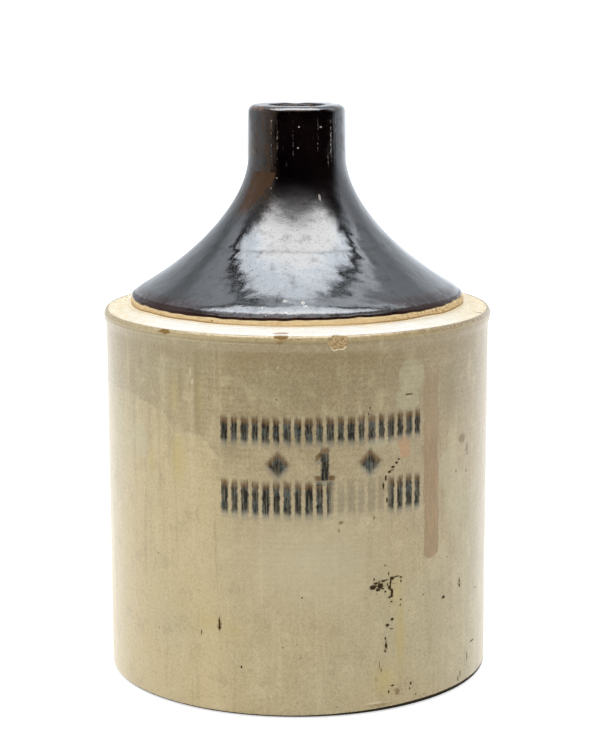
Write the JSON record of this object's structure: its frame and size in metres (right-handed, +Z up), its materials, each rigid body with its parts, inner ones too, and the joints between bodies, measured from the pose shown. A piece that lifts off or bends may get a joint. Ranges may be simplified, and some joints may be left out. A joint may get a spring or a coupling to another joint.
{
  "type": "stoneware jug",
  "caption": "Stoneware shoulder jug: straight grey-glazed pot, brown-glazed flared top with a narrow open mouth, and a strap handle.",
  "frame": {"origin": "middle of the foot, on the surface that the jug stands on", "axes": "+Z up through the mouth, +Y towards the handle, -Y the side that the picture shows"},
  "size_m": [0.1814, 0.1814, 0.2659],
  "materials": {
    "bare_stoneware": "matt fired clay, buff to tan",
    "joining_slip": "matt fired slip",
    "grey_glaze": "satin grey-buff glaze with specks, drips and stains",
    "brown_glaze": "high-gloss dark brown slip glaze",
    "inside_brown_glaze": "thin glossy brown slip lining"
  },
  "bodies": {
    "root": {"clay_pot": "bare_stoneware", "clay_top": "bare_stoneware", "clay_handle": "bare_stoneware", "top_seam_slip": "joining_slip", "neck_root_clay": "joining_slip", "shoulder_root_clay": "joining_slip", "pot_glaze": "grey_glaze", "top_glaze": "brown_glaze", "handle_glaze": "brown_glaze", "inside_glaze": "inside_brown_glaze"}
  },
  "joints": []
}
